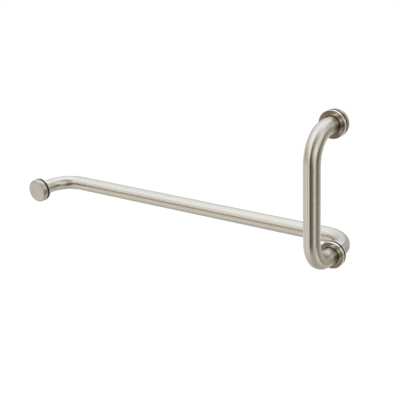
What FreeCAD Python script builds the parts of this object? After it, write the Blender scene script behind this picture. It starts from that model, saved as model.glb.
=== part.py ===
import FreeCAD, Part
import math
import os

from FreeCAD import Vector

# Pull handle and towel bar set for a frameless glass shower door, in millimetres.
# The pull handle stands on the front of the door (-Y) and the towel bar on the back (+Y).
# They are drawn together as supplied, without the glass: the gaskets meet on the clamp plane, y = 0.
# The origin is the middle of the hole that handle and bar share, on that plane.

# Hole spacing in the door
HANDLE_SPACING = 152.4
BAR_SPACING = 457.2

# Bent tube of the handle and of the bar
TUBE_DIAMETER = 19.05
TUBE_WALL = 1.27
BEND_RADIUS = 32.5
TUBE_END_CHAMFER = 0.3

# Brass plug fixed in each tube end, which the straight part of the leg is made to hold
PLUG_LENGTH = 12.7
PLUG_FIT_GAP = 0.05
PLUG_CHAMFER = 0.8
PLUG_TO_BEND = 0.4

# Washer that spreads the load of a tube end, with a recess that the tube stands in.
# Those on the bar's side are the smaller ones.
HANDLE_WASHER_DIAMETER = 32.0
BAR_WASHER_DIAMETER = 30.0
WASHER_WEB = 1.3
WASHER_RECESS = 1.7
WASHER_EDGE_ROUND = 0.5
RECESS_CLEARANCE = 0.8
RECESS_LIP_CHAMFER = 0.25

# Rubber gasket between each metal face and the glass
GASKET_THICKNESS = 1.6
GASKET_INSET = 0.15

# Cap that closes a hole used from one side only
CAP_DIAMETER = 31.5
CAP_FACE = 1.7
CAP_THREAD_DEPTH = 4.6
CAP_EDGE_ROUND = 2.4

# Stud through each hole, with a hex socket in its outer end
STUD_DIAMETER = 8.0
STUD_LENGTH = 30.0
STUD_CHAMFER = 0.8
STUD_KEY = 4.0
STUD_KEY_DEPTH = 4.0
STUD_TIP_GAP = 0.4
THREAD_CLEARANCE = 0.05
THREAD_MOUTH = 0.6

# Plastic sleeve that keeps the stud off the glass
SLEEVE_WALL = 1.8
SLEEVE_BORE_CLEARANCE = 0.2
SLEEVE_END_GAP = 0.1
SLEEVE_CHAMFER = 0.4
HOLE_CLEARANCE = 0.35

# Set screw under the handle's lower leg, which locks it on the shared stud
SCREW_DIAMETER = 6.0
SCREW_CHAMFER = 0.6
SCREW_KEY = 3.0
SCREW_KEY_DEPTH = 2.4
SCREW_CUP_DIAMETER = 3.2
SCREW_CUP_DEPTH = 0.8
SCREW_TIP_GAP = 0.05
SCREW_RECESS = 0.475
SCREW_SETBACK = 5.7
SCREW_HOLE_CLEARANCE = 0.2

# Radii that follow from the driving dimensions
TUBE_RADIUS = TUBE_DIAMETER / 2
TUBE_BORE_RADIUS = TUBE_RADIUS - TUBE_WALL
PLUG_RADIUS = TUBE_BORE_RADIUS - PLUG_FIT_GAP
STUD_RADIUS = STUD_DIAMETER / 2
THREAD_RADIUS = STUD_RADIUS + THREAD_CLEARANCE
SLEEVE_BORE_RADIUS = STUD_RADIUS + SLEEVE_BORE_CLEARANCE
SLEEVE_RADIUS = SLEEVE_BORE_RADIUS + SLEEVE_WALL
HOLE_RADIUS = SLEEVE_RADIUS + HOLE_CLEARANCE
HANDLE_WASHER_RADIUS = HANDLE_WASHER_DIAMETER / 2
BAR_WASHER_RADIUS = BAR_WASHER_DIAMETER / 2
RECESS_RADIUS = TUBE_RADIUS + RECESS_CLEARANCE
GASKET_RADIUS = HANDLE_WASHER_RADIUS - GASKET_INSET
CAP_RADIUS = CAP_DIAMETER / 2
SCREW_RADIUS = SCREW_DIAMETER / 2

# Distances from the clamp plane
WASHER_TOP = GASKET_THICKNESS + WASHER_WEB + WASHER_RECESS
TUBE_END = GASKET_THICKNESS + WASHER_WEB
LEG_END = TUBE_END + PLUG_LENGTH + PLUG_TO_BEND
PROJECTION = LEG_END + BEND_RADIUS
CAP_TOP = GASKET_THICKNESS + CAP_THREAD_DEPTH + CAP_FACE
STUD_TIP_IN_CAP = GASKET_THICKNESS + CAP_THREAD_DEPTH - STUD_TIP_GAP

# The sleeve fills the way from the plug in the tube end to the cap on the other side
SLEEVE_LENGTH = WASHER_WEB + 2 * GASKET_THICKNESS - 2 * SLEEVE_END_GAP

# Set screw, from the stud's surface to just under the tube's surface
SCREW_TIP = STUD_RADIUS + SCREW_TIP_GAP
SCREW_HEAD = TUBE_RADIUS - SCREW_RECESS
SCREW_AXIS = TUBE_END + SCREW_SETBACK

# Directions and hole centres
ORIGIN = Vector(0, 0, 0)
RIGHT = Vector(1, 0, 0)
BACK = Vector(0, 1, 0)
UP = Vector(0, 0, 1)
FRONT = BACK * -1
SHARED_HOLE = ORIGIN
TOP_HOLE = UP * HANDLE_SPACING
LEFT_HOLE = RIGHT * -BAR_SPACING

SAME_PLACE = 1e-6


def turned(outline):
    """Solid turned about Y from a half section of (radius, height) corners."""
    corners = [Vector(radius, height, 0) for radius, height in outline]
    section = Part.Face(Part.makePolygon(corners + corners[:1]))
    return section.revolve(ORIGIN, BACK, 360)


def rims(shape, radius, height):
    """Circular edges of a turned piece at one radius and height."""
    found = []
    for edge in shape.Edges:
        if not isinstance(edge.Curve, Part.Circle):
            continue
        right_size = abs(edge.Curve.Radius - radius) < SAME_PLACE
        right_place = abs(edge.Curve.Center.y - height) < SAME_PLACE
        if right_size and right_place:
            found.append(edge)
    return found


def hex_socket(across_flats, depth, mouth):
    """Hexagonal key socket about Y that runs down from the height of its mouth."""
    corner = RIGHT * (across_flats / 2 / math.cos(math.radians(30)))
    corners = []
    for step in range(7):
        turn = FreeCAD.Rotation(BACK, 60 * step)
        corners.append(turn.multVec(corner) + BACK * mouth)
    return Part.Face(Part.makePolygon(corners)).extrude(FRONT * depth)


def bent_tube(first_hole, last_hole, outward):
    """Tube that leaves one hole, turns along the glass and comes back to the other hole."""
    along = (last_hole - first_hole).normalize()
    start = first_hole + outward * TUBE_END
    first_leg = first_hole + outward * LEG_END
    first_centre = first_leg + along * BEND_RADIUS
    grip_start = first_centre + outward * BEND_RADIUS
    last_leg = last_hole + outward * LEG_END
    last_centre = last_leg - along * BEND_RADIUS
    grip_end = last_centre + outward * BEND_RADIUS
    finish = last_hole + outward * TUBE_END

    half_way = BEND_RADIUS / math.sqrt(2)
    first_bow = first_centre + (outward - along) * half_way
    last_bow = last_centre + (outward + along) * half_way
    path = Part.Wire([
        Part.LineSegment(start, first_leg).toShape(),
        Part.Arc(first_leg, first_bow, grip_start).toShape(),
        Part.LineSegment(grip_start, grip_end).toShape(),
        Part.Arc(grip_end, last_bow, last_leg).toShape(),
        Part.LineSegment(last_leg, finish).toShape(),
    ])
    skin = Part.Wire(Part.Circle(start, outward, TUBE_RADIUS).toShape())
    bore = Part.Wire(Part.Circle(start, outward, TUBE_BORE_RADIUS).toShape())
    section = Part.makeFace([skin, bore], "Part::FaceMakerBullseye")
    tube = path.makePipe(section)
    return tube.makeChamfer(TUBE_END_CHAMFER, rims(tube, TUBE_RADIUS, start.y))


def screw_hole(radius):
    """Radial drilling under the handle's lower leg, from the stud out through the tube."""
    return Part.makeCylinder(radius, TUBE_DIAMETER, FRONT * SCREW_AXIS, UP * -1)


def washer(radius):
    """Turned washer with the recess that takes the tube end, and the recess's lip chamfered."""
    shape = turned([
        (HOLE_RADIUS, GASKET_THICKNESS),
        (radius, GASKET_THICKNESS),
        (radius, WASHER_TOP),
        (RECESS_RADIUS + RECESS_LIP_CHAMFER, WASHER_TOP),
        (RECESS_RADIUS, WASHER_TOP - RECESS_LIP_CHAMFER),
        (RECESS_RADIUS, TUBE_END),
        (HOLE_RADIUS, TUBE_END),
    ])
    return shape.makeFillet(WASHER_EDGE_ROUND, rims(shape, radius, WASHER_TOP))


def gasket():
    """Flat rubber ring that lies on the clamp plane."""
    return turned([
        (HOLE_RADIUS, 0),
        (GASKET_RADIUS, 0),
        (GASKET_RADIUS, GASKET_THICKNESS),
        (HOLE_RADIUS, GASKET_THICKNESS),
    ])


def plug():
    """Brass plug, flush with the tube end and bored right through for the stud."""
    inner_end = TUBE_END + PLUG_LENGTH
    return turned([
        (THREAD_RADIUS + THREAD_MOUTH, TUBE_END),
        (PLUG_RADIUS, TUBE_END),
        (PLUG_RADIUS, inner_end - PLUG_CHAMFER),
        (PLUG_RADIUS - PLUG_CHAMFER, inner_end),
        (THREAD_RADIUS, inner_end),
        (THREAD_RADIUS, TUBE_END + THREAD_MOUTH),
    ])


def cap():
    """Round cap with a blind thread in the face that meets the gasket."""
    thread_end = GASKET_THICKNESS + CAP_THREAD_DEPTH
    shape = turned([
        (THREAD_RADIUS + THREAD_MOUTH, GASKET_THICKNESS),
        (CAP_RADIUS, GASKET_THICKNESS),
        (CAP_RADIUS, CAP_TOP),
        (0, CAP_TOP),
        (0, thread_end),
        (THREAD_RADIUS, thread_end),
        (THREAD_RADIUS, GASKET_THICKNESS + THREAD_MOUTH),
    ])
    return shape.makeFillet(CAP_EDGE_ROUND, rims(shape, CAP_RADIUS, CAP_TOP))


def stud(outer_end):
    """Stud with both ends chamfered, whose socketed end stands at outer_end."""
    inner_end = outer_end - STUD_LENGTH
    shape = turned([
        (0, inner_end),
        (STUD_RADIUS - STUD_CHAMFER, inner_end),
        (STUD_RADIUS, inner_end + STUD_CHAMFER),
        (STUD_RADIUS, outer_end - STUD_CHAMFER),
        (STUD_RADIUS - STUD_CHAMFER, outer_end),
        (0, outer_end),
    ])
    return shape.cut(hex_socket(STUD_KEY, STUD_KEY_DEPTH, outer_end))


def sleeve(near_end):
    """Plastic sleeve that starts at near_end, with chamfered outer edges."""
    far_end = near_end + SLEEVE_LENGTH
    return turned([
        (SLEEVE_BORE_RADIUS, near_end),
        (SLEEVE_RADIUS - SLEEVE_CHAMFER, near_end),
        (SLEEVE_RADIUS, near_end + SLEEVE_CHAMFER),
        (SLEEVE_RADIUS, far_end - SLEEVE_CHAMFER),
        (SLEEVE_RADIUS - SLEEVE_CHAMFER, far_end),
        (SLEEVE_BORE_RADIUS, far_end),
    ])


def set_screw():
    """Cup-point set screw, in its place under the handle's lower leg."""
    cup_radius = SCREW_CUP_DIAMETER / 2
    shape = turned([
        (0, SCREW_TIP + SCREW_CUP_DEPTH),
        (cup_radius, SCREW_TIP),
        (SCREW_RADIUS - SCREW_CHAMFER, SCREW_TIP),
        (SCREW_RADIUS, SCREW_TIP + SCREW_CHAMFER),
        (SCREW_RADIUS, SCREW_HEAD - SCREW_CHAMFER),
        (SCREW_RADIUS - SCREW_CHAMFER, SCREW_HEAD),
        (0, SCREW_HEAD),
    ])
    shape = shape.cut(hex_socket(SCREW_KEY, SCREW_KEY_DEPTH, SCREW_HEAD))
    shape.rotate(ORIGIN, RIGHT, -90)
    shape.translate(FRONT * SCREW_AXIS)
    return shape


def seated(piece, hole, side):
    """Turned piece, made for the back of the door, put on one side of a hole."""
    placed = piece.copy()
    if side == FRONT:
        placed.rotate(ORIGIN, UP, 180)
    placed.translate(hole)
    return placed


# Tubes
nodes = {
    "pull_handle": bent_tube(SHARED_HOLE, TOP_HOLE, FRONT),
    "towel_bar": bent_tube(SHARED_HOLE, LEFT_HOLE, BACK),
}

# Washer, gasket and plug at each tube end
tube_ends = {
    "handle_top": (TOP_HOLE, FRONT, HANDLE_WASHER_RADIUS),
    "handle_bottom": (SHARED_HOLE, FRONT, HANDLE_WASHER_RADIUS),
    "bar_left": (LEFT_HOLE, BACK, BAR_WASHER_RADIUS),
    "bar_right": (SHARED_HOLE, BACK, BAR_WASHER_RADIUS),
}
for name, (hole, side, washer_radius) in tube_ends.items():
    nodes[name + "_washer"] = seated(washer(washer_radius), hole, side)
    nodes[name + "_gasket"] = seated(gasket(), hole, side)
    nodes[name + "_plug"] = seated(plug(), hole, side)

# Cap with its gasket, stud and sleeve at each hole that is used from one side only
capped_holes = {
    "top": (TOP_HOLE, BACK),
    "left": (LEFT_HOLE, FRONT),
}
for name, (hole, side) in capped_holes.items():
    nodes[name + "_cap"] = seated(cap(), hole, side)
    nodes[name + "_cap_gasket"] = seated(gasket(), hole, side)
    nodes[name + "_stud"] = seated(stud(STUD_TIP_IN_CAP), hole, side)
    nodes[name + "_sleeve"] = seated(sleeve(SLEEVE_END_GAP - TUBE_END), hole, side)

# Stud and sleeve at the shared hole, with the stud's socket towards the handle
nodes["shared_stud"] = seated(stud(STUD_LENGTH / 2), SHARED_HOLE, FRONT)
nodes["shared_sleeve"] = seated(sleeve(-SLEEVE_LENGTH / 2), SHARED_HOLE, FRONT)

# Set screw, with its thread in the plug and a clear hole in the tube
nodes["handle_set_screw"] = set_screw()
nodes["handle_bottom_plug"] = nodes["handle_bottom_plug"].cut(screw_hole(SCREW_RADIUS + THREAD_CLEARANCE))
nodes["pull_handle"] = nodes["pull_handle"].cut(screw_hole(SCREW_RADIUS + SCREW_HOLE_CLEARANCE))

os.makedirs("parts", exist_ok=True)
for name, shape in nodes.items():
    shape.exportStep("parts/" + name + ".step")
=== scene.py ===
"""Brushed shower door set: a pull handle and a towel bar, clamped back to back through a glass door.

Everything is in metres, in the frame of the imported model: the origin is the hole that handle and bar
share, +X runs to the right, +Y goes through the glass from the handle's side to the bar's side, and +Z
is up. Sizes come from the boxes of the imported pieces, or are named values of the class that uses them.
"""
import logging
import math
from abc import ABC, abstractmethod
from collections.abc import Callable, Sequence
from dataclasses import dataclass
from enum import Enum
from typing import Any

import bmesh
import bpy
from mathutils import Matrix, Vector


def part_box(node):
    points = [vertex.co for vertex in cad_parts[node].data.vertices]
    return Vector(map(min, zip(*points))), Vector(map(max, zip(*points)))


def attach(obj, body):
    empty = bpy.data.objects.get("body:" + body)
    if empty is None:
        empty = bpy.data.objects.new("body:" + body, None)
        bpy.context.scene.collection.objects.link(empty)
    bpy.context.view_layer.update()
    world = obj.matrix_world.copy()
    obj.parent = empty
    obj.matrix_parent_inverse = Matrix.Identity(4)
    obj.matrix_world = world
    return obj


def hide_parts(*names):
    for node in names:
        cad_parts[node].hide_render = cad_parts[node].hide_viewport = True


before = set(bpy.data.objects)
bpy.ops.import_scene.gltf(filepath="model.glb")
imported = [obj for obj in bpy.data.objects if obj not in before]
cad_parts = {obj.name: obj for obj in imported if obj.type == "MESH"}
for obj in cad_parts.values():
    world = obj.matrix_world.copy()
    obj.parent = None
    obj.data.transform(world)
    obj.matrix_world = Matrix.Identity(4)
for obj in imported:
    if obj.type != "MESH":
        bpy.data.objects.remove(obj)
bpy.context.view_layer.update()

log = logging.getLogger("door_set")

Colour = tuple[float, float, float, float]
Span = tuple[float, float, float, float]
Brush = Callable[[Vector], tuple[float, float]]

MM = 0.001
BODY = "root"
SCREW_NODE = "handle_set_screw"
BRUSH_MAP = "brush"
HOLLOW_SHADE_MAP = "hollow_shade"
RIM_HIGHLIGHT_MAP = "rim"

RIGHT = Vector((1.0, 0.0, 0.0))
BACK = Vector((0.0, 1.0, 0.0))
UP = Vector((0.0, 0.0, 1.0))


def placed(middle: Vector, way: Vector) -> Matrix:
    """The move that brings the origin to a point and turns Z to a direction."""
    return Matrix.Translation(middle) @ way.to_track_quat("Z", "Y").to_matrix().to_4x4()


class Slot(Enum):
    """The record's material slots."""

    TUBE = "tube_metal"
    TURNED = "turned_metal"
    RUBBER = "gasket_rubber"
    BRASS = "plug_brass"
    STEEL = "stud_steel"
    PLASTIC = "sleeve_plastic"


class Side(Enum):
    """The side of the glass that a piece is on, as its direction along Y."""

    HANDLE = -1.0
    BAR = 1.0

    @property
    def outward(self) -> Vector:
        """Direction away from the glass on this side."""
        return BACK * self.value


class Graph:
    """Shader nodes of one tree, added and joined a call at a time."""

    # Colour sockets of the mix node, which has others for numbers and vectors
    MIX_SHARE = 0
    MIX_FIRST = 6
    MIX_SECOND = 7
    MIX_RESULT = 2

    def __init__(self, tree: bpy.types.NodeTree) -> None:
        """Start from an empty tree."""
        tree.nodes.clear()
        self.tree = tree

    def add(self, kind: str, inputs: dict[Any, Any] | None = None, **settings: Any) -> bpy.types.Node:
        """Add one node.

        Args:
            kind: Blender's name for the kind of node.
            inputs: values, or output sockets to join, by the input's name or number.
            settings: the node's own options.

        Returns:
            The new node.
        """
        node = self.tree.nodes.new(kind)
        for name, value in settings.items():
            setattr(node, name, value)
        for key, value in (inputs or {}).items():
            if isinstance(value, bpy.types.NodeSocket):
                self.tree.links.new(value, node.inputs[key])
            else:
                node.inputs[key].default_value = value
        return node

    def math(self, operation: str, first: Any, second: Any = 0.0) -> bpy.types.NodeSocket:
        """One arithmetic step on two numbers or sockets."""
        return self.add("ShaderNodeMath", {0: first, 1: second}, operation=operation).outputs[0]

    def spread(self, value: Any, low: float, high: float) -> bpy.types.NodeSocket:
        """A value from 0 to 1 spread between two limits."""
        limits = {"Value": value, "To Min": low, "To Max": high}
        return self.add("ShaderNodeMapRange", limits).outputs["Result"]

    def ramp(self, value: Any, stops: Sequence[tuple[float, Colour]]) -> bpy.types.NodeSocket:
        """Colour along a row of stops, which run softly into each other.

        Args:
            value: the place along the row, from 0 to 1.
            stops: places and their colours, in order.

        Returns:
            The colour's socket.
        """
        node = self.add("ShaderNodeValToRGB", {"Fac": value})
        row = node.color_ramp
        row.interpolation = "EASE"
        while len(row.elements) < len(stops):
            row.elements.new(1.0)
        for element, (place, colour) in zip(row.elements, stops):
            element.position = place
            element.color = colour
        return node.outputs["Color"]

    def mix(self, share: Any, first: Any, second: Any, blend: str = "MIX") -> bpy.types.NodeSocket:
        """Two colours mixed or blended.

        Args:
            share: the second colour's share, from 0 to 1.
            first: the first colour.
            second: the second colour.
            blend: Blender's name for the way that they are blended.

        Returns:
            The colour's socket.
        """
        inputs = {self.MIX_SHARE: share, self.MIX_FIRST: first, self.MIX_SECOND: second}
        node = self.add("ShaderNodeMix", inputs, data_type="RGBA", blend_type=blend)
        return node.outputs[self.MIX_RESULT]

    def noise(self, place: Any, scale: float, detail: float) -> bpy.types.NodeSocket:
        """Noise at a place, from 0 to 1."""
        inputs = {"Vector": place, "Scale": scale, "Detail": detail}
        return self.add("ShaderNodeTexNoise", inputs).outputs[0]


@dataclass(frozen=True)
class Finish(ABC):
    """A surface finish that can make its own material."""

    name: str
    slot: Slot

    def material(self) -> bpy.types.Material:
        """The finish's material, made the first time it is asked for.

        Returns:
            The material.
        """
        made = bpy.data.materials.get(self.name)
        if made is None:
            made = bpy.data.materials.new(self.name)
            made.use_nodes = True
            graph = Graph(made.node_tree)
            shader = self.shade(graph)
            graph.add("ShaderNodeOutputMaterial", {"Surface": shader.outputs["BSDF"]})
        return made

    @abstractmethod
    def shade(self, graph: Graph) -> bpy.types.Node:
        """Add the finish's nodes and return its shader."""


@dataclass(frozen=True)
class BrushedMetal(Finish):
    """Metal with fine lines that run round the piece, as brushing and turning leave them."""

    FINE_DETAIL = 3.0
    FINE_SHARE = 0.75
    BROAD_DETAIL = 2.0
    BROAD_WIDTH = 12
    BROAD_TURNS = 1.6
    FAINT_LINE = 0.3
    STRONG_LINE = 0.7
    LINE_DEPTH = 0.05 * MM

    light: Colour
    dark: Colour
    roughness: tuple[float, float]
    anisotropy: float
    lines_per_metre: float
    line_turns: float
    bump: float
    # Painted highlight: a colour lighter than the metal for the washers' rims, where light falls.
    rim: Colour = (0.82, 0.81, 0.78, 1.0)
    # Painted shade: a near-black colour for the washers' recesses, where shade falls.
    hollow_shade: Colour = (0.06, 0.052, 0.042, 1.0)

    def shade(self, graph: Graph) -> bpy.types.Node:
        """Add the nodes of the brushed lines, of the painted highlight on rims and of the painted shade in
        hollows.

        Args:
            graph: the material's nodes.

        Returns:
            The metal's shader.
        """
        brush = graph.add("ShaderNodeUVMap", uv_map=BRUSH_MAP)
        split = graph.add("ShaderNodeSeparateXYZ", {0: brush.outputs[0]})
        along = split.outputs["X"]
        angle = graph.math("MULTIPLY", split.outputs["Y"], 2 * math.pi)
        cosine = graph.math("COSINE", angle)
        sine = graph.math("SINE", angle)

        def lines(rate: float, turns: float, detail: float) -> bpy.types.NodeSocket:
            """Noise drawn out round the piece.

            Args:
                rate: changes in a metre along the piece.
                turns: how much it changes round the piece.
                detail: the noise's detail.

            Returns:
                The noise's socket.
            """
            place = {
                "X": graph.math("MULTIPLY", along, rate),
                "Y": graph.math("MULTIPLY", cosine, turns),
                "Z": graph.math("MULTIPLY", sine, turns),
            }
            return graph.noise(graph.add("ShaderNodeCombineXYZ", place).outputs[0], 1.0, detail)

        fine = lines(self.lines_per_metre, self.line_turns, self.FINE_DETAIL)
        broad_rate = self.lines_per_metre / self.BROAD_WIDTH
        broad = lines(broad_rate, self.line_turns * self.BROAD_TURNS, self.BROAD_DETAIL)
        fine_part = graph.math("MULTIPLY", fine, self.FINE_SHARE)
        broad_part = graph.math("MULTIPLY", broad, 1 - self.FINE_SHARE)
        strength = graph.add("ShaderNodeMapRange", {
            "Value": graph.math("ADD", fine_part, broad_part),
            "From Min": self.FAINT_LINE,
            "From Max": self.STRONG_LINE,
        }).outputs["Result"]
        tangent = graph.add("ShaderNodeTangent", direction_type="UV_MAP", uv_map=BRUSH_MAP)
        relief = graph.add("ShaderNodeBump", {
            "Height": fine,
            "Strength": self.bump,
            "Distance": self.LINE_DEPTH,
        })
        colour = graph.mix(strength, self.dark, self.light)
        # Painted highlight on the marked rims and painted shade in the marked hollows, over the metal's
        # colour.
        for mark, other in ((RIM_HIGHLIGHT_MAP, self.rim), (HOLLOW_SHADE_MAP, self.hollow_shade)):
            share = graph.add("ShaderNodeAttribute", attribute_name=mark).outputs["Fac"]
            colour = graph.mix(share, colour, other)
        return graph.add("ShaderNodeBsdfPrincipled", {
            "Base Color": colour,
            "Metallic": 1.0,
            "Roughness": graph.spread(strength, *self.roughness),
            "Anisotropic": self.anisotropy,
            "Tangent": tangent.outputs[0],
            "Normal": relief.outputs[0],
        })


@dataclass(frozen=True)
class MouldedSoft(Finish):
    """Rubber or plastic with a fine mottle and a faint moulded grain."""

    GRAIN_DETAIL = 4.0
    GRAIN_DEPTH = 0.1 * MM
    CLOUD_DETAIL = 2.0
    CLOUD_WIDTH = 9

    light: Colour
    dark: Colour
    roughness: tuple[float, float]
    specular: float
    grain: float
    bump: float

    def shade(self, graph: Graph) -> bpy.types.Node:
        """Add the nodes of the moulded grain.

        Args:
            graph: the material's nodes.

        Returns:
            The rubber's or plastic's shader.
        """
        place = graph.add("ShaderNodeTexCoord").outputs["Object"]
        grain = graph.noise(place, self.grain, self.GRAIN_DETAIL)
        cloud = graph.noise(place, self.grain / self.CLOUD_WIDTH, self.CLOUD_DETAIL)
        relief = graph.add("ShaderNodeBump", {
            "Height": grain,
            "Strength": self.bump,
            "Distance": self.GRAIN_DEPTH,
        })
        return graph.add("ShaderNodeBsdfPrincipled", {
            "Base Color": graph.mix(cloud, self.dark, self.light),
            "Roughness": graph.spread(grain, *self.roughness),
            "Specular IOR Level": self.specular,
            "Normal": relief.outputs[0],
        })


TUBE_NICKEL = BrushedMetal(
    name="brushed_nickel_tube",
    slot=Slot.TUBE,
    light=(0.70, 0.694, 0.672, 1.0),
    dark=(0.645, 0.639, 0.617, 1.0),
    roughness=(0.25, 0.28),
    anisotropy=0.96,
    lines_per_metre=2400.0,
    line_turns=0.9,
    bump=0.03,
)
TURNED_NICKEL = BrushedMetal(
    name="turned_nickel",
    slot=Slot.TURNED,
    light=(0.62, 0.61, 0.58, 1.0),
    dark=(0.50, 0.49, 0.46, 1.0),
    roughness=(0.28, 0.34),
    anisotropy=0.85,
    lines_per_metre=4200.0,
    line_turns=1.2,
    bump=0.08,
)
# Darker and more golden than the turned nickel: painted shade and a painted warm reflection on the
# washers' faces. The lower roughness is the washers' finer turning.
SHADED_WASHER_NICKEL = BrushedMetal(
    name="fine_turned_nickel_painted_shade",
    slot=Slot.TURNED,
    light=(0.62, 0.575, 0.49, 1.0),
    dark=(0.52, 0.475, 0.40, 1.0),
    roughness=(0.14, 0.19),
    anisotropy=0.6,
    lines_per_metre=4200.0,
    line_turns=1.2,
    bump=0.05,
)
MACHINED_BRASS = BrushedMetal(
    name="machined_brass",
    slot=Slot.BRASS,
    light=(0.80, 0.60, 0.29, 1.0),
    dark=(0.62, 0.44, 0.18, 1.0),
    roughness=(0.24, 0.36),
    anisotropy=0.6,
    lines_per_metre=3600.0,
    line_turns=1.0,
    bump=0.3,
)
MACHINED_STEEL = BrushedMetal(
    name="machined_steel",
    slot=Slot.STEEL,
    light=(0.58, 0.58, 0.60, 1.0),
    dark=(0.44, 0.44, 0.46, 1.0),
    roughness=(0.26, 0.38),
    anisotropy=0.5,
    lines_per_metre=3000.0,
    line_turns=1.0,
    bump=0.2,
)
BLACK_RUBBER = MouldedSoft(
    name="black_rubber",
    slot=Slot.RUBBER,
    light=(0.016, 0.016, 0.017, 1.0),
    dark=(0.008, 0.008, 0.009, 1.0),
    roughness=(0.60, 0.75),
    specular=0.12,
    grain=2600.0,
    bump=0.35,
)
NATURAL_PLASTIC = MouldedSoft(
    name="natural_plastic",
    slot=Slot.PLASTIC,
    light=(0.86, 0.85, 0.80, 1.0),
    dark=(0.80, 0.78, 0.72, 1.0),
    roughness=(0.38, 0.5),
    specular=0.45,
    grain=1500.0,
    bump=0.15,
)


@dataclass(frozen=True)
class Axis:
    """The line that a turned piece is turned about."""

    origin: Vector
    direction: Vector

    @property
    def across(self) -> Vector:
        """A direction square to the axis, from which turns are counted."""
        return self.direction.orthogonal().normalized()

    def place(self, radius: float, height: float) -> Vector:
        """The point at a radius and a height, in the half plane where turns start."""
        return self.origin + self.across * radius + self.direction * height

    def height(self, point: Vector) -> float:
        """Height of a point along the axis."""
        return (point - self.origin).dot(self.direction)

    def spoke(self, point: Vector) -> Vector:
        """The vector from the axis out to a point."""
        return point - self.origin - self.direction * self.height(point)

    def brush(self, point: Vector) -> tuple[float, float]:
        """Place of a point on a turned surface.

        Args:
            point: a point of the surface.

        Returns:
            The distance along the section, and the turn round the axis from 0 to 1.
        """
        spoke = self.spoke(point)
        ahead = self.direction.cross(self.across)
        turn = math.atan2(spoke.dot(ahead), spoke.dot(self.across)) / (2 * math.pi)
        return spoke.length - self.height(point), turn % 1.0


@dataclass(frozen=True)
class Corner:
    """A corner of a turned piece's half section."""

    radius: float
    height: float
    rounding: float = 0.0


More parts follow.
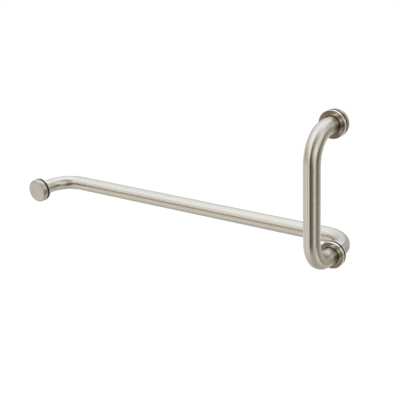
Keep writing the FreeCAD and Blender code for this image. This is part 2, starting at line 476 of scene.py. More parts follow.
class Blank:
    """A piece on the bench: its mesh, from the first corners to the dressed object."""

    ROUND_SEGMENTS = 5
    SUPPORT = 0.12 * MM
    LONG_EDGE = 6 * SUPPORT
    MERGE = 0.0001 * MM
    TOUCH = 10 * MERGE
    SHARP = math.radians(32)

    def __init__(self, name: str) -> None:
        """Start an empty piece."""
        self.name = name
        self.mesh = bmesh.new()

    def outline(self, axis: Axis, corners: Sequence[Corner], closed: bool) -> None:
        """Draw a half section, with its corners rounded and a line held close to each corner.

        Args:
            axis: the axis that the section belongs to.
            corners: the section's corners in order.
            closed: whether the last corner joins the first.
        """
        verts = [self.mesh.verts.new(axis.place(corner.radius, corner.height)) for corner in corners]
        followers = verts[1:] + verts[:1] if closed else verts[1:]
        for first, second in zip(verts, followers):
            self.mesh.edges.new((first, second))
        for vert, corner in zip(verts, corners):
            if corner.rounding:
                bmesh.ops.bevel(
                    self.mesh, geom=[vert], offset=corner.rounding, offset_type="OFFSET",
                    segments=self.ROUND_SEGMENTS, profile=0.5, affect="VERTICES", material=-1,
                )
        for edge in list(self.mesh.edges):
            self.hold_ends(edge)

    def hold_ends(self, edge: bmesh.types.BMEdge) -> None:
        """Split a long edge of a section close to both ends, so that its flat shades flat.

        Args:
            edge: the section's edge.
        """
        length = edge.calc_length()
        if length < self.LONG_EDGE:
            return
        first, last = edge.verts
        share = self.SUPPORT / length
        other, _ = bmesh.utils.edge_split(edge, first, share)
        rest = edge if last in edge.verts else other
        bmesh.utils.edge_split(rest, last, share / (1 - share))

    @classmethod
    def turned(cls, name: str, axis: Axis, corners: Sequence[Corner], closed: bool, steps: int) -> "Blank":
        """Draw a half section and turn it into a piece.

        Args:
            name: the piece's name.
            axis: the axis to turn about.
            corners: the section's corners in order.
            closed: whether the section is a ring's, with its last corner joined to the first.
            steps: flats in the whole turn.

        Returns:
            The turned piece.
        """
        blank = cls(name)
        blank.outline(axis, corners, closed)
        blank.turn(axis, steps)
        return blank

    @classmethod
    def drill(
        cls, radius: float, start: Vector, end: Vector, tip_radius: float | None = None, sides: int = 48,
    ) -> "Blank":
        """A straight cutter between two points.

        Args:
            radius: the cutter's radius at the start, measured to its corners.
            start: middle of the first end.
            end: middle of the other end.
            tip_radius: radius at the other end, where it isn't the same.
            sides: flats round the cutter.

        Returns:
            The cutter.
        """
        blank = cls("cutter")
        way = end - start
        bmesh.ops.create_cone(
            blank.mesh, cap_ends=True, segments=sides, radius1=radius,
            radius2=radius if tip_radius is None else tip_radius, depth=way.length,
            matrix=placed((start + end) / 2, way),
        )
        return blank

    def turn(self, axis: Axis, steps: int) -> None:
        """Turn the section right round the axis."""
        bmesh.ops.spin(
            self.mesh, geom=self.mesh.verts[:] + self.mesh.edges[:], cent=axis.origin, axis=axis.direction,
            dvec=(0.0, 0.0, 0.0), angle=2 * math.pi, steps=steps, use_merge=True, use_duplicate=False,
        )

    def loose_object(self) -> bpy.types.Object:
        """A plain object of the mesh as it stands.

        Returns:
            The object, linked to the scene.
        """
        data = bpy.data.meshes.new(self.name)
        self.mesh.to_mesh(data)
        made = bpy.data.objects.new(self.name, data)
        bpy.context.scene.collection.objects.link(made)
        return made

    def close(self) -> None:
        """Merge what meets and turn every face outwards."""
        bmesh.ops.remove_doubles(self.mesh, verts=self.mesh.verts[:], dist=self.MERGE)
        bmesh.ops.dissolve_degenerate(self.mesh, edges=self.mesh.edges[:], dist=self.MERGE)
        bmesh.ops.recalc_face_normals(self.mesh, faces=self.mesh.faces[:])

    def cut(self, tool: "Blank") -> None:
        """Cut another closed piece out of this one.

        Args:
            tool: the piece to cut with, which is used up.
        """
        self.close()
        tool.close()
        target, cutter = self.loose_object(), tool.loose_object()
        boolean = target.modifiers.new("cut", "BOOLEAN")
        boolean.operation = "DIFFERENCE"
        boolean.solver = "EXACT"
        boolean.object = cutter
        cut = bpy.data.meshes.new_from_object(target.evaluated_get(bpy.context.evaluated_depsgraph_get()))
        self.mesh.clear()
        self.mesh.from_mesh(cut)
        tool.mesh.free()
        for data in (target.data, cutter.data, cut):
            bpy.data.meshes.remove(data)

    def map_brush(self, brush: Brush) -> None:
        """Write the map that the brushed lines follow, with no jump where a turn closes.

        Args:
            brush: gives a point's distance along the piece and its turn round it.
        """
        layer = self.mesh.loops.layers.uv.new(BRUSH_MAP)
        for face in self.mesh.faces:
            _, middle = brush(face.calc_center_median())
            for loop in face.loops:
                along, turn = brush(loop.vert.co)
                turn -= round(turn - middle)
                loop[layer].uv = (along, turn)

    def mark(self, name: str, inside: Callable[[Vector], bool]) -> None:
        """Mark the points of a region that has its own finish.

        Args:
            name: the region's map.
            inside: tells whether a point is in the region.
        """
        layer = self.mesh.verts.layers.float.new(name)
        for vert in self.mesh.verts:
            vert[layer] = float(inside(vert.co))

    def dress(self, node: str, finish: Finish, brush: Brush) -> bpy.types.Object:
        """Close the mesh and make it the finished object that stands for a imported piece.

        Args:
            node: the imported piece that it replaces.
            finish: the surface finish.
            brush: the way that the finish's lines run.

        Returns:
            The finished object.
        """
        self.close()
        for face in self.mesh.faces:
            face.smooth = True
        for edge in self.mesh.edges:
            edge.smooth = edge.calc_face_angle(0.0) < self.SHARP
        self.map_brush(brush)
        made = self.loose_object()
        self.mesh.free()
        made.data.materials.append(finish.material())
        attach(made, BODY)
        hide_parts(node)
        log.info("%s stands for %s with %d faces", made.name, node, len(made.data.polygons))
        return made


def screw_drill(clearance: float, top: float, bottom: float) -> Blank:
    """The cutter for a hole that the set screw stands in.

    Args:
        clearance: play round the screw.
        top: height where the cut starts.
        bottom: height where it ends.

    Returns:
        The cutter.
    """
    low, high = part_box(SCREW_NODE)
    middle = (low + high) / 2
    start = Vector((middle.x, middle.y, top))
    end = Vector((middle.x, middle.y, bottom))
    return Blank.drill((high.x - low.x) / 2 + clearance, start, end)


@dataclass
class DoorTube:
    """A tube bent twice, which leaves one hole of the door and comes back to another."""

    node: str
    name: str
    side: Side
    along: Vector
    wall: float = 1.27 * MM
    bend_radius: float = 32.5 * MM
    end_chamfer: float = 0.3 * MM
    segments: int = 96
    bend_steps: int = 40
    chamfer_steps: int = 2

    def __post_init__(self) -> None:
        """Take the tube's reach from its packed box."""
        low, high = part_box(self.node)
        size = high - low
        self.radius: float = min(size) / 2
        self.span: float = abs(size.dot(self.along)) - 2 * self.radius
        near, far = sorted(abs(corner.y) for corner in (low, high))
        self.end: float = near
        self.projection: float = far - self.radius
        self.leg_end: float = self.projection - self.bend_radius
        self.outward: Vector = self.side.outward

    def spot(self, along: float, outward: float) -> Vector:
        """A point in the plane of the bends."""
        return self.along * along + self.outward * outward

    def brush(self, point: Vector) -> tuple[float, float]:
        """Place of a point on the tube.

        Args:
            point: a point of the tube's skin or bore.

        Returns:
            The distance along the tube from its first end, and the turn round it from 0 to 1.
        """
        along, out = point.dot(self.along), point.dot(self.outward)
        aside = point.dot(self.along.cross(self.outward))
        mirrored = along > self.span / 2
        along = self.span - along if mirrored else along
        bend_length = self.bend_radius * math.pi / 2
        leg_length = self.leg_end - self.end
        if out < self.leg_end:
            travelled, lift = out - self.end, -along
        elif along > self.bend_radius:
            travelled, lift = leg_length + bend_length + along - self.bend_radius, out - self.projection
        else:
            rise, run = out - self.leg_end, self.bend_radius - along
            travelled = leg_length + self.bend_radius * math.atan2(rise, run)
            lift = math.hypot(rise, run) - self.bend_radius
        if mirrored:
            travelled = self.span + 2 * (leg_length + bend_length - self.bend_radius) - travelled
        return travelled, (math.atan2(aside, lift) / (2 * math.pi)) % 1.0

    def ring(self, blank: Blank) -> list[Any]:
        """Draw the skin's ring at the first end.

        Args:
            blank: the piece that the ring is drawn on.

        Returns:
            The ring's vertices and edges.
        """
        place = placed(self.spot(0.0, self.end), self.outward)
        bmesh.ops.create_circle(blank.mesh, segments=self.segments, radius=self.radius, matrix=place)
        return blank.mesh.verts[:] + blank.mesh.edges[:]

    def run(self, blank: Blank, ring: list[Any], way: Vector) -> list[Any]:
        """Draw the ring out along a straight run.

        Args:
            blank: the tube so far.
            ring: vertices and edges of the ring at its open end.
            way: the run's length and direction.

        Returns:
            The new ring's vertices and edges.
        """
        edges = [item for item in ring if isinstance(item, bmesh.types.BMEdge)]
        drawn = bmesh.ops.extrude_edge_only(blank.mesh, edges=edges)["geom"]
        verts = [item for item in drawn if isinstance(item, bmesh.types.BMVert)]
        bmesh.ops.translate(blank.mesh, verts=verts, vec=way)
        fresh = set(verts)
        far = [item for item in drawn if isinstance(item, bmesh.types.BMEdge) and set(item.verts) <= fresh]
        return verts + far

    def bend(self, blank: Blank, ring: list[Any], centre: Vector) -> list[Any]:
        """Swing the ring through a quarter turn.

        Args:
            blank: the tube so far.
            ring: vertices and edges of the ring at its open end.
            centre: the middle of the bend.

        Returns:
            The new ring's vertices and edges.
        """
        axis = self.outward.cross(self.along)
        swung = bmesh.ops.spin(
            blank.mesh, geom=ring, cent=centre, axis=axis, dvec=(0.0, 0.0, 0.0), angle=math.pi / 2,
            steps=self.bend_steps, use_merge=False, use_duplicate=False,
        )
        return swung["geom_last"]

    def thicken(self, blank: Blank) -> None:
        """Give the skin its wall, and chamfer the skin's edge at both ends.

        Args:
            blank: the tube's skin.
        """
        blank.close()
        bmesh.ops.solidify(blank.mesh, geom=blank.mesh.faces[:], thickness=self.wall)
        middle = self.radius - self.wall / 2
        outer = []
        for edge in blank.mesh.edges:
            heights = [abs(vert.co.dot(self.outward) - self.end) for vert in edge.verts]
            spokes = [self.leg_spoke(vert.co) for vert in edge.verts]
            if max(heights) < Blank.TOUCH and min(spokes) > middle:
                outer.append(edge)
        bmesh.ops.bevel(
            blank.mesh, geom=outer, offset=self.end_chamfer, offset_type="OFFSET",
            segments=self.chamfer_steps, profile=0.5, affect="EDGES", material=-1,
        )

    def leg_spoke(self, point: Vector) -> float:
        """Distance of a point from the axis of the leg that it is on.

        Args:
            point: a point of one of the tube's ends.

        Returns:
            The distance.
        """
        along = point.dot(self.along)
        along = min(abs(along), abs(along - self.span))
        return math.hypot(along, point.dot(self.along.cross(self.outward)))

    def blank(self) -> Blank:
        """Bend the tube.

        Returns:
            The tube with open bore and closed wall.
        """
        blank = Blank(self.name)
        ring = self.ring(blank)
        leg = self.leg_end - self.end
        ring = self.run(blank, ring, self.outward * leg)
        ring = self.bend(blank, ring, self.spot(self.bend_radius, self.leg_end))
        ring = self.run(blank, ring, self.along * (self.span - 2 * self.bend_radius))
        ring = self.bend(blank, ring, self.spot(self.span - self.bend_radius, self.leg_end))
        self.run(blank, ring, self.outward * -leg)
        self.thicken(blank)
        return blank

    def build(self) -> bpy.types.Object:
        """Build and dress the tube."""
        return self.blank().dress(self.node, TUBE_NICKEL, self.brush)


@dataclass
class PullHandle(DoorTube):
    """The handle's tube, drilled under its lower leg for the set screw."""

    hole_clearance: float = 0.2 * MM
    drill_overshoot: float = 2.4 * MM

    def blank(self) -> Blank:
        """Bend the tube and drill it.

        Returns:
            The drilled tube.
        """
        tube = super().blank()
        inside = self.wall - self.radius + self.drill_overshoot
        outside = -self.radius - self.drill_overshoot
        tube.cut(screw_drill(self.hole_clearance, inside, outside))
        return tube


@dataclass
class TubeEnd:
    """Washer, gasket and plug at one end of a tube."""

    place: str
    side: Side
    hole_radius: float = 6.35 * MM
    recess_clearance: float = 0.8 * MM
    recess_lip: float = 0.25 * MM
    recess_depth: float = 1.7 * MM
    washer_round: float = 0.5 * MM
    edge_break: float = 0.12 * MM
    gasket_round: float = 0.28 * MM
    plug_bore: float = 4.05 * MM
    plug_mouth: float = 0.6 * MM
    plug_chamfer: float = 0.8 * MM
    steps: int = 128

    def axis(self, node: str) -> Axis:
        """Axis of one of the end's pieces, from the clamp plane outwards.

        Args:
            node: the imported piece.

        Returns:
            The axis.
        """
        low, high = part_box(node)
        middle = (low + high) / 2
        return Axis(Vector((middle.x, 0.0, middle.z)), self.side.outward)

    def reach(self, node: str) -> tuple[float, float, float]:
        """How far a piece reaches.

        Args:
            node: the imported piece.

        Returns:
            Its radius, and its near and far distance from the clamp plane.
        """
        low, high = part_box(node)
        near, far = sorted(corner.y * self.side.value for corner in (low, high))
        return (high.x - low.x) / 2, near, far

    def washer(self) -> bpy.types.Object:
        """Turned washer with the recess that takes the tube end.

        Returns:
            The finished object.
        """
        node = self.place + "_washer"
        radius, near, far = self.reach(node)
        recess = TUBE_RADIUS + self.recess_clearance
        floor = far - self.recess_depth
        axis = self.axis(node)
        blank = Blank.turned("turned_" + node, axis, [
            Corner(self.hole_radius, near, self.edge_break),
            Corner(radius, near, self.edge_break),
            Corner(radius, far, self.washer_round),
            Corner(recess + self.recess_lip, far, self.edge_break),
            Corner(recess, far - self.recess_lip, self.edge_break),
            Corner(recess, floor),
            Corner(self.hole_radius, floor, self.edge_break),
        ], closed=True, steps=self.steps)
        mouth = recess + self.recess_lip / 2
        bottom = floor - self.edge_break / 2
        rim = radius - self.washer_round / 2

        def in_shaded_recess(point: Vector) -> bool:
            """Whether a point is in the recess, where shade is painted."""
            return axis.spoke(point).length < mouth and axis.height(point) > bottom

        def on_highlit_rim(point: Vector) -> bool:
            """Whether a point is on the rim, where a highlight is painted."""
            return axis.spoke(point).length > rim

        # The recess gets painted shade.
        blank.mark(HOLLOW_SHADE_MAP, in_shaded_recess)
        # The rim gets a painted highlight.
        blank.mark(RIM_HIGHLIGHT_MAP, on_highlit_rim)
        # The washer's colours carry painted shade and a painted warm reflection.
        return blank.dress(node, SHADED_WASHER_NICKEL, axis.brush)

    def gasket(self, node: str) -> bpy.types.Object:
        """Rubber ring on the clamp plane, with soft outer edges.

        Args:
            node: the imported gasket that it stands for.

        Returns:
            The finished object.
        """
        radius, near, far = self.reach(node)
        axis = self.axis(node)
        blank = Blank.turned("rubber_" + node, axis, [
            Corner(self.hole_radius, near, self.edge_break),
            Corner(radius, near, self.gasket_round),
            Corner(radius, far, self.gasket_round),
            Corner(self.hole_radius, far, self.edge_break),
        ], closed=True, steps=self.steps)
        return blank.dress(node, BLACK_RUBBER, axis.brush)

    def plug_blank(self) -> Blank:
        """Brass plug in the tube end, bored for the stud.

        Returns:
            The turned plug.
        """
        node = self.place + "_plug"
        radius, near, far = self.reach(node)
        return Blank.turned("brass_" + node, self.axis(node), [
            Corner(self.plug_bore + self.plug_mouth, near),
            Corner(radius, near, self.edge_break),
            Corner(radius, far - self.plug_chamfer),
            Corner(radius - self.plug_chamfer, far),
            Corner(self.plug_bore, far, self.edge_break),
            Corner(self.plug_bore, near + self.plug_mouth),
        ], closed=True, steps=self.steps)

    def plug(self) -> bpy.types.Object:
        """Dress the plug."""
        node = self.place + "_plug"
        return self.plug_blank().dress(node, MACHINED_BRASS, self.axis(node).brush)

    def build(self) -> list[bpy.types.Object]:
        """Build and dress the end's pieces."""
        return [self.washer(), self.gasket(self.place + "_gasket"), self.plug()]


@dataclass
class LockedEnd(TubeEnd):
    """Tube end whose plug is drilled for the set screw that locks it on the stud."""

    thread_clearance: float = 0.05 * MM

    def plug_blank(self) -> Blank:
        """Brass plug, drilled from its bore downwards for the set screw.

        Returns:
            The drilled plug.
        """
        plug = super().plug_blank()
        plug.cut(screw_drill(self.thread_clearance, 0.0, -TUBE_RADIUS))
        return plug


@dataclass
class CapEnd(TubeEnd):
    """Cap and gasket that close a hole on the side where no tube comes out."""

    cap_round: float = 2.4 * MM
    thread_depth: float = 4.6 * MM

    def cap(self) -> bpy.types.Object:
        """Round cap with a blind bore, turned from the middle of its face round to the bore's end.

        Returns:
            The finished object.
        """
        node = self.place + "_cap"
        radius, near, far = self.reach(node)
        axis = self.axis(node)
        blank = Blank.turned("turned_" + node, axis, [
            Corner(0.0, far),
            Corner(radius, far, self.cap_round),
            Corner(radius, near, self.edge_break),
            Corner(self.plug_bore + self.plug_mouth, near),
            Corner(self.plug_bore, near + self.plug_mouth),
            Corner(self.plug_bore, near + self.thread_depth),
            Corner(0.0, near + self.thread_depth),
        ], closed=False, steps=self.steps)
        return blank.dress(node, TURNED_NICKEL, axis.brush)

    def build(self) -> list[bpy.types.Object]:
        """Build and dress the cap and its gasket."""
        return [self.cap(), self.gasket(self.place + "_cap_gasket")]


@dataclass
class ThreadedRod:
    """A rod threaded from end to end, with a hex socket in its head.

    The depth of the thread, the flats of its root and crest, and its seam are shares of the pitch.
    """

    THREAD_DEPTH = 0.6134
    ROOT_END = 0.25
    CREST_START = 0.5625
    CREST_END = 0.6875
    SEAM = 0.002
    SPARE_TURNS = 2
    HEX_SIDES = 6

    node: str
    head: Vector
    pitch: float
    chamfer: float
    key: float
    key_depth: float
    cup_radius: float = 0.0
    cup_depth: float = 0.0
    turn_steps: int = 40

    def __post_init__(self) -> None:
        """Take the rod's place and size from its packed box."""
        low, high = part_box(self.node)
        size = high - low
        self.middle: Vector = (low + high) / 2
        self.length: float = abs(size.dot(self.head))
        # Without the length, the smallest of the three is 0 and the next is the diameter
        across = size - self.head * size.dot(self.head)
        self.radius: float = sorted(across)[1] / 2
        self.root_radius: float = self.radius - self.THREAD_DEPTH * self.pitch

    @property
    def axis(self) -> Axis:
        """The rod's axis, from its middle towards its head."""
        return Axis(self.middle, self.head)

    def wind(self, blank: Blank) -> None:
        """Wind one groove and crest of the thread up the rod, past both ends.

        Args:
            blank: the piece that the thread is wound on, about Z.
        """
        bench = Axis(Vector(), UP)
        start = -self.length / 2 - self.pitch * self.SPARE_TURNS / 2
        profile = (
            (self.root_radius, 0.0),
            (self.root_radius, self.ROOT_END),
            (self.radius, self.CREST_START),
            (self.radius, self.CREST_END),
            (self.root_radius, 1.0),
        )
        places = [bench.place(radius, start + share * self.pitch) for radius, share in profile]
        verts = [blank.mesh.verts.new(place) for place in places]
        edges = [blank.mesh.edges.new(pair) for pair in zip(verts, verts[1:])]
        turns = math.ceil(self.length / self.pitch) + self.SPARE_TURNS
        bmesh.ops.spin(
            blank.mesh, geom=verts + edges, cent=bench.origin, axis=bench.direction,
            dvec=bench.direction * (self.pitch / self.turn_steps), angle=turns * 2 * math.pi,
            steps=turns * self.turn_steps, use_merge=False, use_duplicate=False,
        )
        bmesh.ops.remove_doubles(blank.mesh, verts=blank.mesh.verts[:], dist=self.pitch * self.SEAM)

    def trim(self, blank: Blank) -> None:
        """Cut the thread off square at both ends, close the ends and chamfer them.

        Args:
            blank: the wound thread.
        """
        for end in (UP, -UP):
            everything = blank.mesh.verts[:] + blank.mesh.edges[:] + blank.mesh.faces[:]
            bmesh.ops.bisect_plane(
                blank.mesh, geom=everything, dist=Blank.MERGE, plane_co=end * (self.length / 2),
                plane_no=end, clear_outer=True,
            )
        rim = [edge for edge in blank.mesh.edges if edge.is_boundary]
        bmesh.ops.holes_fill(blank.mesh, edges=rim, sides=0)
        for vert in blank.mesh.verts:
            limit = self.radius - self.chamfer + self.length / 2 - abs(vert.co.z)
            reach = math.hypot(vert.co.x, vert.co.y)
            if reach > limit:
                vert.co.x *= limit / reach
                vert.co.y *= limit / reach

    def build(self) -> bpy.types.Object:
        """Wind, trim, socket and dress the rod.

        Returns:
            The finished object.
        """
        blank = Blank("threaded_" + self.node)
        self.wind(blank)
        self.trim(blank)
        top = UP * (self.length / 2)
        corner = self.key / 2 / math.cos(math.pi / self.HEX_SIDES)
        depth = UP * self.key_depth
        blank.cut(Blank.drill(corner, top - depth, top + depth, sides=self.HEX_SIDES))
        if self.cup_depth:
            # The cone starts as far outside the rod as its tip goes in, so there it is twice as wide
            depth = UP * self.cup_depth
            blank.cut(Blank.drill(2 * self.cup_radius, -top - depth, -top + depth, tip_radius=0.0))
        place = placed(self.middle, self.head)
        bmesh.ops.transform(blank.mesh, matrix=place, verts=blank.mesh.verts[:])
        return blank.dress(self.node, MACHINED_STEEL, self.axis.brush)


@dataclass
class ThroughBolt:
    """Stud through one hole of the door, and the sleeve that keeps it off the glass."""

    place: str
    head: Side
    pitch: float = 1.25 * MM
    chamfer: float = 0.8 * MM
    key: float = 4.0 * MM
    key_depth: float = 4.0 * MM
    sleeve_wall: float = 1.8 * MM
    sleeve_chamfer: float = 0.4 * MM
    edge_break: float = 0.1 * MM
    steps: int = 96

    def sleeve(self) -> bpy.types.Object:
        """Plastic sleeve, with its outer edges chamfered.

        Returns:
            The finished object.
        """
        node = self.place + "_sleeve"
        low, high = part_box(node)
        middle = (low + high) / 2
        radius, half = (high.x - low.x) / 2, (high.y - low.y) / 2
        bore = radius - self.sleeve_wall
        axis = Axis(middle, BACK)
        blank = Blank.turned("moulded_" + node, axis, [
            Corner(bore, -half, self.edge_break),
            Corner(radius - self.sleeve_chamfer, -half, self.edge_break),
            Corner(radius, self.sleeve_chamfer - half, self.edge_break),
            Corner(radius, half - self.sleeve_chamfer, self.edge_break),
            Corner(radius - self.sleeve_chamfer, half, self.edge_break),
            Corner(bore, half, self.edge_break),
        ], closed=True, steps=self.steps)
        return blank.dress(node, NATURAL_PLASTIC, axis.brush)

    def build(self) -> list[bpy.types.Object]:
        """Build and dress the stud and its sleeve."""
        stud = ThreadedRod(
            node=self.place + "_stud",
            head=self.head.outward,
            pitch=self.pitch,
            chamfer=self.chamfer,
            key=self.key,
            key_depth=self.key_depth,
        )
        return [stud.build(), self.sleeve()]


@dataclass(frozen=True)
class Camera:
    """The camera at the photograph's angle: degrees, metres, and millimetres for sensor and lens."""

    azimuth: float = 35.879
    elevation: float = 20.244
    roll: float = -2.619
    distance: float = 1.09834
    target: tuple[float, float, float] = (-0.180968, 0.0, 0.033291)
    sensor: float = 36.0
    lens: float = 80.482
    clip: tuple[float, float] = (0.01, 100.0)

    def build(self) -> bpy.types.Object:
        """Place the camera.

        Returns:
            The camera's object.
        """
        azimuth, elevation = math.radians(self.azimuth), math.radians(self.elevation)
        back = Vector((
            math.sin(azimuth) * math.cos(elevation),
            -math.cos(azimuth) * math.cos(elevation),
            math.sin(elevation),
        ))
        right = UP.cross(back).normalized()
        up = back.cross(right)
        turn = Matrix((right, up, back)).transposed() @ Matrix.Rotation(math.radians(self.roll), 3, "Z")
        data = bpy.data.cameras.new("photo_camera")
        data.sensor_width = self.sensor
        data.lens = self.lens
        data.clip_start, data.clip_end = self.clip
        made = bpy.data.objects.new("photo_camera", data)
        made.matrix_world = Matrix.Translation(Vector(self.target) + back * self.distance) @ turn.to_4x4()
        bpy.context.scene.collection.objects.link(made)
        bpy.context.scene.camera = made
        return made


@dataclass(frozen=True)
class Shade:
    """Brightness and warmth of a part of the studio."""

    BLUE_LOSS = 1.6

    level: float
    warm: float = 0.0

    @property
    def colour(self) -> Colour:
        """The shade as a colour: warmth gives red and takes blue."""
        red, blue = 1 + self.warm, 1 - self.BLUE_LOSS * self.warm
        return (self.level * red, self.level, self.level * blue, 1.0)


@dataclass(frozen=True)
class Panel:
    """A soft-edged panel of the studio, which dims or lifts what the metal mirrors there.

    Both spans are in degrees: where the panel starts, where it is full, where it fades and where it ends.
    """

    shade: Shade
    azimuth: Span
    elevation: Span


@dataclass
class Studio:
    """Pale floor, and the soft studio surroundings that the metal mirrors.

    The sky is the light by elevation, which the panels dim or lift. Angles are in degrees, and azimuth
    counts from the handle's side of the glass, positive to the right.
    """

    FULL_TURN = 360
    HALF_TURN = 180
    FADE = (0.0, 1.0, 1.0, 0.0)

    floor_size: float = 60.0
    floor_drop: float = 0.45
    floor_colour: Colour = (0.94, 0.94, 0.94, 1.0)
    soft_light: float = 1.15
    sky: tuple[tuple[float, Shade], ...] = (
        (-90, Shade(0.46, 0.06)),
        (-62, Shade(0.57, 0.04)),
        (-38, Shade(0.90, 0.06)),
        (-14, Shade(1.04, 0.03)),
        (0, Shade(0.73, 0.03)),
        (14, Shade(0.85, 0.07)),
        (30, Shade(1.10, 0.03)),
        (60, Shade(1.26)),
        (90, Shade(1.24)),
    )
    panels: tuple[Panel, ...] = (
        # Stripes of the handle's grip, from its left edge to its right edge
        Panel(Shade(0.84, 0.02), (-150, -120, -62, -50), (-58, -48, 22, 32)),
        Panel(Shade(1.12, 0.18), (-22, -18, -11, -7), (-34, -28, 26, 36)),
        Panel(Shade(0.0), (-10, -1, 42, 47), (-43, -37, -8, 0)),
        Panel(Shade(0.53, 0.04), (43, 48, 73, 86), (-60, -44, -9, -3)),
        Panel(Shade(1.75, 0.03), (46, 54, 64, 78), (-24, -15, 22, 33)),
        Panel(Shade(0.01, 0.40), (78, 81, 108, 129), (-34, -29, 2, 16)),
        Panel(Shade(0.49, 0.06), (114, 119, 158, 171), (-64, -41, 37, 60)),
        # Shade in the handle's upper bend, and light in its lower bend
        Panel(Shade(0.22, 0.28), (-10, -1, 21, 33), (-14, -6, 44, 62)),
        Panel(Shade(0.37, 0.11), (-45, 20, 55, 125), (28, 42, 66, 88)),
        Panel(Shade(1.50, 0.12), (80, 86, 110, 118), (-62, -54, -44, -38)),
        # Faces of the handle's washers
        Panel(Shade(0.10, 0.26), (-33, -30, -24, -21), (-29, -26, -13, -9)),
        # The towel bar: its underside, the light and the dark line above that, and its top
        Panel(Shade(1.20), (-55, -40, 0, 12), (-76, -66, -54, -46)),
        Panel(Shade(1.12), (-62, -54, -37, -33), (-28, -24, -17, -13)),
        Panel(Shade(0.66, 0.10), (-108, -80, 65, 95), (-14, -9, 7, 11)),
        Panel(Shade(0.62), (-58, -52, -38, -32), (-7, -2, 9, 14)),
        Panel(Shade(1.22), (-38, -30, -10, -4), (6, 14, 34, 52)),
        Panel(Shade(0.76), (-74, -62, -46, -38), (4, 12, 28, 36)),
        Panel(Shade(1.14, -0.02), (-84, -70, -40, -25), (34, 44, 62, 74)),
        Panel(Shade(0.90), (-135, -120, -98, -84), (28, 38, 52, 58)),
        # Legs of both tubes and rims of the washers, which mirror the bar's side of the studio
        Panel(Shade(0.90, -0.02), (-180, -176, -135, -115), (-10, 2, 42, 55)),
        Panel(Shade(1.20, -0.05), (140, 150, 179, 180), (30, 35, 44, 56)),
        Panel(Shade(1.08, -0.05), (-180, -179, -160, -148), (30, 35, 44, 56)),
        Panel(Shade(0.57), (150, 158, 179, 180), (2, 8, 25, 32)),
        Panel(Shade(0.57), (-180, -179, -168, -158), (2, 8, 23, 30)),
        Panel(Shade(1.15), (138, 146, 154, 162), (-26, -18, 2, 8)),
        Panel(Shade(1.90), (136, 140, 150, 156), (-6, 2, 26, 34)),
    )

    def floor(self) -> bpy.types.Object:
        """Wide pale floor well below the set, which the metal doesn't mirror.

        Returns:
            The floor's object.
        """
        plane = bmesh.new()
        bmesh.ops.create_grid(plane, x_segments=1, y_segments=1, size=self.floor_size / 2)
        bmesh.ops.translate(plane, verts=plane.verts[:], vec=UP * -self.floor_drop)
        data = bpy.data.meshes.new("floor")
        plane.to_mesh(data)
        plane.free()
        made = bpy.data.objects.new("floor", data)
        bpy.context.scene.collection.objects.link(made)
        paint = bpy.data.materials.new("pale_floor")
        paint.use_nodes = True
        shader = paint.node_tree.nodes["Principled BSDF"]
        shader.inputs["Base Color"].default_value = self.floor_colour
        shader.inputs["Roughness"].default_value = 1.0
        data.materials.append(paint)
        made.visible_glossy = False
        return made

    def mask(
        self, graph: Graph, way: bpy.types.NodeSocket, span: Span, whole: float,
    ) -> bpy.types.NodeSocket:
        """How much of a panel there is along one angle.

        Args:
            graph: the world's nodes.
            way: the angle, from 0 to 1 over its whole range.
            span: the panel's span in degrees.
            whole: the angle's whole range in degrees.

        Returns:
            The share's socket, from 0 to 1.
        """
        stops = [(angle / whole + 0.5, Shade(level).colour) for angle, level in zip(span, self.FADE)]
        return graph.ramp(way, stops)

    def light(self, graph: Graph) -> bpy.types.NodeSocket:
        """Light of the studio by direction.

        Args:
            graph: the world's nodes.

        Returns:
            The light's colour.
        """
        way = graph.add("ShaderNodeTexCoord").outputs["Generated"]
        split = graph.add("ShaderNodeSeparateXYZ", {0: way})
        rise = graph.math("ARCSINE", split.outputs["Z"])
        elevation = graph.math("ADD", graph.math("MULTIPLY", rise, 1 / math.pi), 0.5)
        front = graph.math("MULTIPLY", split.outputs["Y"], -1.0)
        swing = graph.math("ARCTAN2", split.outputs["X"], front)
        azimuth = graph.math("ADD", graph.math("MULTIPLY", swing, 0.5 / math.pi), 0.5)
        sky = [(angle / self.HALF_TURN + 0.5, shade.colour) for angle, shade in self.sky]
        light = graph.ramp(elevation, sky)
        for panel in self.panels:
            across = self.mask(graph, azimuth, panel.azimuth, self.FULL_TURN)
            upright = self.mask(graph, elevation, panel.elevation, self.HALF_TURN)
            share = graph.math("MULTIPLY", across, upright)
            tint = graph.mix(share, Shade(1.0).colour, panel.shade.colour)
            light = graph.mix(1.0, light, tint, "MULTIPLY")
        return light

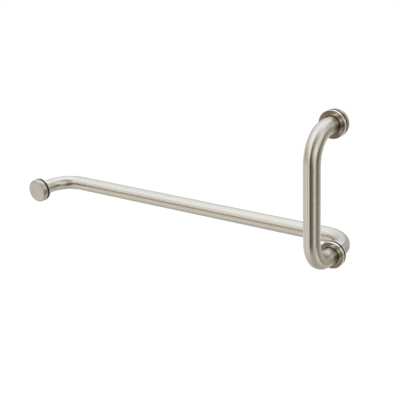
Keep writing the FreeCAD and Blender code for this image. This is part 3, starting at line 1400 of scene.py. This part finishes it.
    def surroundings(self) -> None:
        """Surround the set with the studio, which is seen as plain white and lights the floor evenly."""
        world = bpy.data.worlds.new("studio")
        world.use_nodes = True
        graph = Graph(world.node_tree)
        ray = graph.add("ShaderNodeLightPath").outputs
        white = Shade(1.0).colour
        shader = graph.add("ShaderNodeBackground", {"Color": self.light(graph), "Strength": 1.0})
        for kind, strength in (("Is Diffuse Ray", self.soft_light), ("Is Camera Ray", 1.0)):
            plain = graph.add("ShaderNodeBackground", {"Color": white, "Strength": strength})
            mixed = {0: ray[kind], 1: shader.outputs[0], 2: plain.outputs[0]}
            shader = graph.add("ShaderNodeMixShader", mixed)
        graph.add("ShaderNodeOutputWorld", {"Surface": shader.outputs[0]})
        bpy.context.scene.world = world

    def build(self) -> None:
        """Build the floor and the surroundings."""
        self.floor()
        self.surroundings()
        bpy.context.scene.view_settings.view_transform = "Standard"


HANDLE_TUBE = PullHandle("pull_handle", "brushed_pull_handle", Side.HANDLE, UP)
BAR_TUBE = DoorTube("towel_bar", "brushed_towel_bar", Side.BAR, -RIGHT)
TUBE_RADIUS = HANDLE_TUBE.radius
SET_SCREW = ThreadedRod(
    node=SCREW_NODE,
    head=-UP,
    pitch=1.0 * MM,
    chamfer=0.6 * MM,
    key=3.0 * MM,
    key_depth=2.4 * MM,
    cup_radius=1.6 * MM,
    cup_depth=0.8 * MM,
)


def main() -> None:
    """Build the set, the studio and the camera."""
    logging.basicConfig(level=logging.INFO, format="%(message)s")
    HANDLE_TUBE.build()
    BAR_TUBE.build()
    fittings: list[TubeEnd | ThroughBolt | ThreadedRod] = [
        TubeEnd("handle_top", Side.HANDLE),
        LockedEnd("handle_bottom", Side.HANDLE),
        TubeEnd("bar_left", Side.BAR),
        TubeEnd("bar_right", Side.BAR),
        CapEnd("top", Side.BAR),
        CapEnd("left", Side.HANDLE),
        ThroughBolt("top", Side.BAR),
        ThroughBolt("left", Side.HANDLE),
        ThroughBolt("shared", Side.HANDLE),
        SET_SCREW,
    ]
    for fitting in fittings:
        fitting.build()
    Studio().build()
    Camera().build()


if __name__ == "__main__":
    main()
